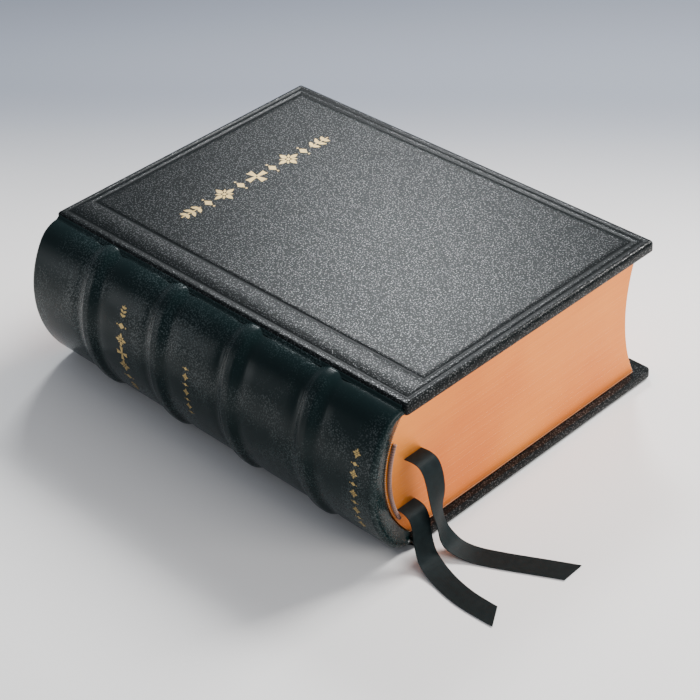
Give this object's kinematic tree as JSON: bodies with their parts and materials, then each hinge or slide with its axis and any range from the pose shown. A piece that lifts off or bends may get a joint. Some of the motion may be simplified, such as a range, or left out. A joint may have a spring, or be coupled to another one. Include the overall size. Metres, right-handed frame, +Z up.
{
  "type": "bible",
  "caption": "Thick leather-bound bible on its back cover: hard boards, rounded spine with raised bands, gilt leaf edges and ribbon markers; both covers open.",
  "frame": {"origin": "middle of the closed book's footprint, without the ribbons, on the outside of the back cover, where it rests", "axes": "+X from the spine to the fore-edge, +Y from the tail of the page to its head (the longest side), +Z up from the back cover to the front cover (the shortest side)"},
  "size_m": [0.1676, 0.2675, 0.07],
  "materials": {
    "cover_leather": "satin, fine pebbled grain, black with grey lights",
    "spine_leather": "satin, rubbed smooth, green-black",
    "gilt_leaves": "thin paper, edges gilt over red",
    "endpaper": "ivory laid paper, matt",
    "millboard": "matt",
    "card": "matt",
    "kraft_paper": "matt",
    "mull": "open weave",
    "tape": "woven",
    "endband_silk": "satin",
    "ribbon": "satin weave"
  },
  "bodies": {
    "book_block": {"gathering_1": "gilt_leaves", "gathering_2": "gilt_leaves", "gathering_3": "gilt_leaves", "gathering_4": "gilt_leaves", "gathering_5": "gilt_leaves", "gathering_6": "gilt_leaves", "gathering_7": "gilt_leaves", "gathering_8": "gilt_leaves", "sewing_tape_1": "tape", "sewing_tape_2": "tape", "sewing_tape_3": "tape", "sewing_tape_4": "tape", "mull": "mull", "hollow_tube": "kraft_paper", "spine_inlay": "card", "raised_band_1": "card", "raised_band_2": "card", "raised_band_3": "card", "raised_band_4": "card", "spine_leather": "spine_leather", "head_cap": "spine_leather", "tail_cap": "spine_leather", "head_band": "endband_silk", "tail_band": "endband_silk", "ribbon_1_between_leaves": "ribbon", "ribbon_2_between_leaves": "ribbon", "ribbon_1": "ribbon", "ribbon_2": "ribbon"},
    "front_cover": {"front_leather": "cover_leather", "front_board": "millboard", "front_turn_in": "cover_leather", "front_board_lining": "kraft_paper", "front_pastedown": "endpaper"},
    "back_cover": {"back_leather": "cover_leather", "back_board": "millboard", "back_turn_in": "cover_leather", "back_board_lining": "kraft_paper", "back_pastedown": "endpaper"},
    "front_flyleaf": {"front_flyleaf": "endpaper"},
    "back_flyleaf": {"back_flyleaf": "endpaper"}
  },
  "joints": [
    {"name": "front_cover_open", "type": "hinge", "parent": "book_block", "child": "front_cover", "pos_m": [-0.0624, 0, 0.0702], "axis": [0, -1, 0], "range_deg": [0, 180]},
    {"name": "back_cover_open", "type": "hinge", "parent": "book_block", "child": "back_cover", "pos_m": [-0.0624, 0, -0.0002], "axis": [0, 1, 0], "range_deg": [0, 180]},
    {"name": "front_flyleaf_turn", "type": "hinge", "parent": "book_block", "child": "front_flyleaf", "pos_m": [-0.0607, 0, 0.06427], "axis": [0, -1, 0], "range_deg": [0, 90]},
    {"name": "back_flyleaf_turn", "type": "hinge", "parent": "book_block", "child": "back_flyleaf", "pos_m": [-0.0607, 0, 0.00573], "axis": [0, 1, 0], "range_deg": [0, 90]}
  ],
  "couplings": [
    {"joint": "front_flyleaf_turn", "follows": "front_cover_open", "ratio": 0.5},
    {"joint": "back_flyleaf_turn", "follows": "back_cover_open", "ratio": 0.5}
  ]
}
